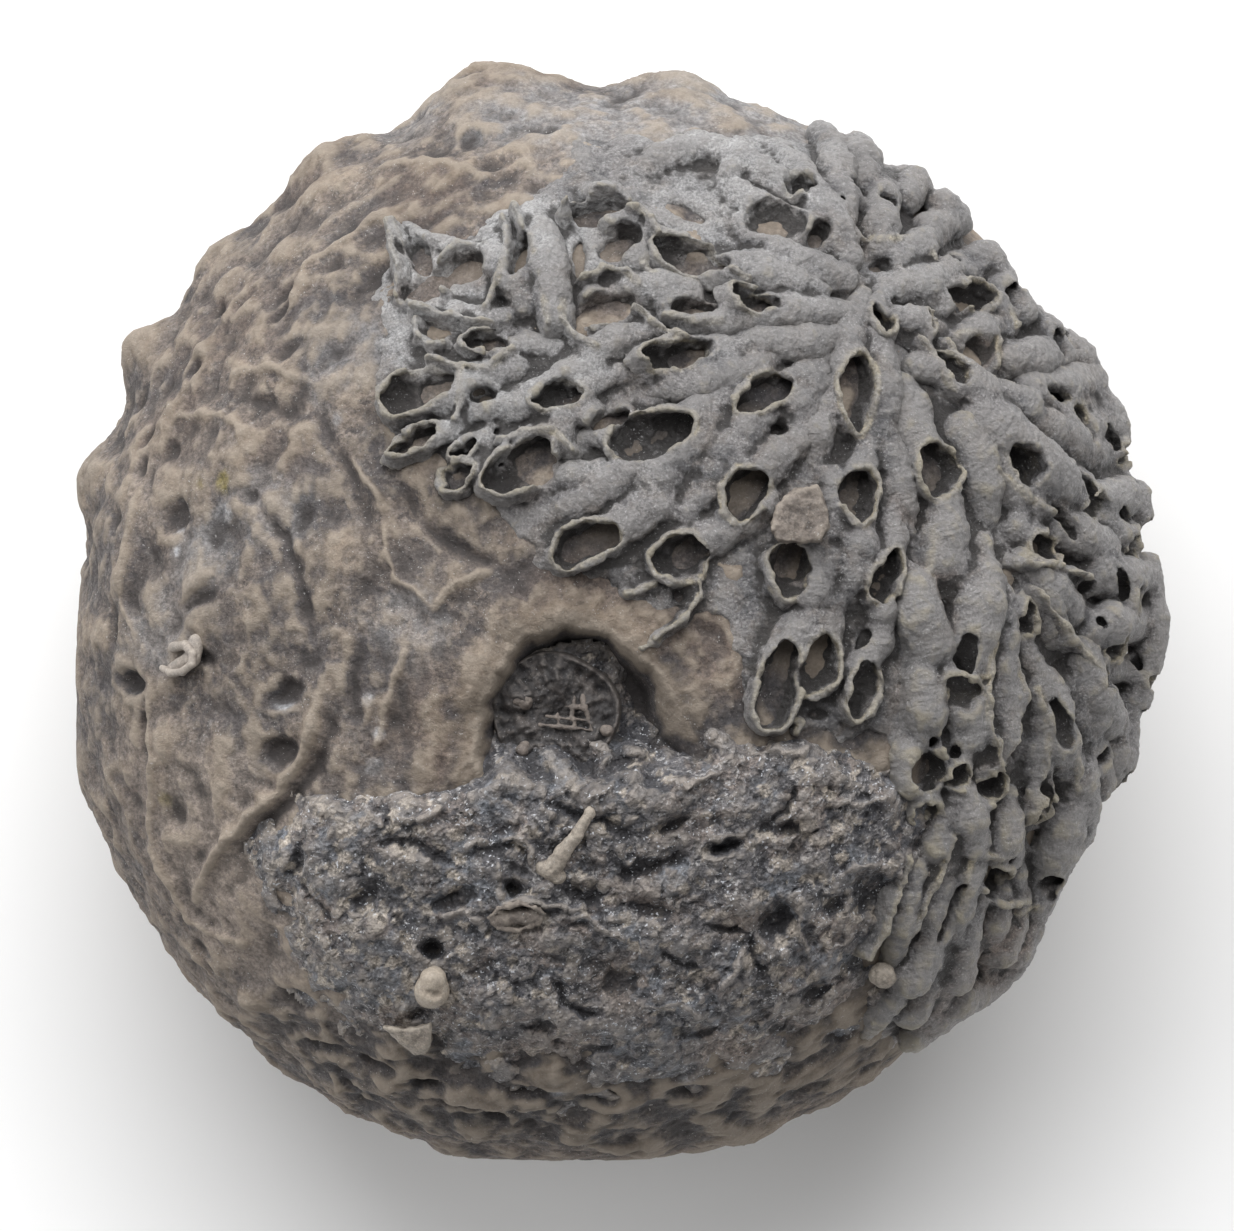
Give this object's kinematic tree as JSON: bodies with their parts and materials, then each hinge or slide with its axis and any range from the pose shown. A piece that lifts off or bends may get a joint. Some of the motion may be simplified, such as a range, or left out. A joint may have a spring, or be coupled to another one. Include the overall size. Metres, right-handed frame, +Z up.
{
  "type": "fossil crinoid",
  "caption": "Bowl-shaped fossil crinoid cup lying stem side up, with a stem pit, encrusting tube coral, bryozoan bits and a crust of dark rock.",
  "frame": {"origin": "on the resting surface, under the middle of the outline's bounding box", "axes": "+Z up through the stem pit side, +Y towards the side with the largest arm-base knob, +X towards the coral's densest side"},
  "size_m": [0.0404, 0.0406, 0.0257],
  "materials": {
    "cup_stone": "fine matt pinkish tan stone mottled grey, low plates and ridges",
    "rock": "dark grainy grey rock with small glassy glints and tan bits",
    "stem_stone": "dark brown-grey matt stone",
    "coral_stone": "matt grey stone tubes with thin paler cream rims",
    "bryozoan_stone": "cream matt stone",
    "ossicle_stone": "smooth cream stone",
    "chip_stone": "tan-brown matt stone",
    "shell_stone": "tan-brown stone with a pale edge",
    "worm_stone": "pale cream stone"
  },
  "bodies": {
    "root": {"calyx": "cup_stone", "matrix_crust": "rock", "stem_columnal": "stem_stone", "coral_north": "coral_stone", "coral_north_west": "coral_stone", "coral_west": "coral_stone", "coral_south_west": "coral_stone", "coral_south": "coral_stone", "coral_south_east": "coral_stone", "coral_east": "coral_stone", "coral_north_east": "coral_stone", "lace_bryozoan": "bryozoan_stone", "twig_bryozoan": "bryozoan_stone", "ring_ossicle": "ossicle_stone", "plate_chip_coral": "chip_stone", "plate_chip_rim": "ossicle_stone", "shell_valve": "shell_stone", "knob_ossicle": "ossicle_stone", "worm_tube": "worm_stone"}
  },
  "joints": []
}
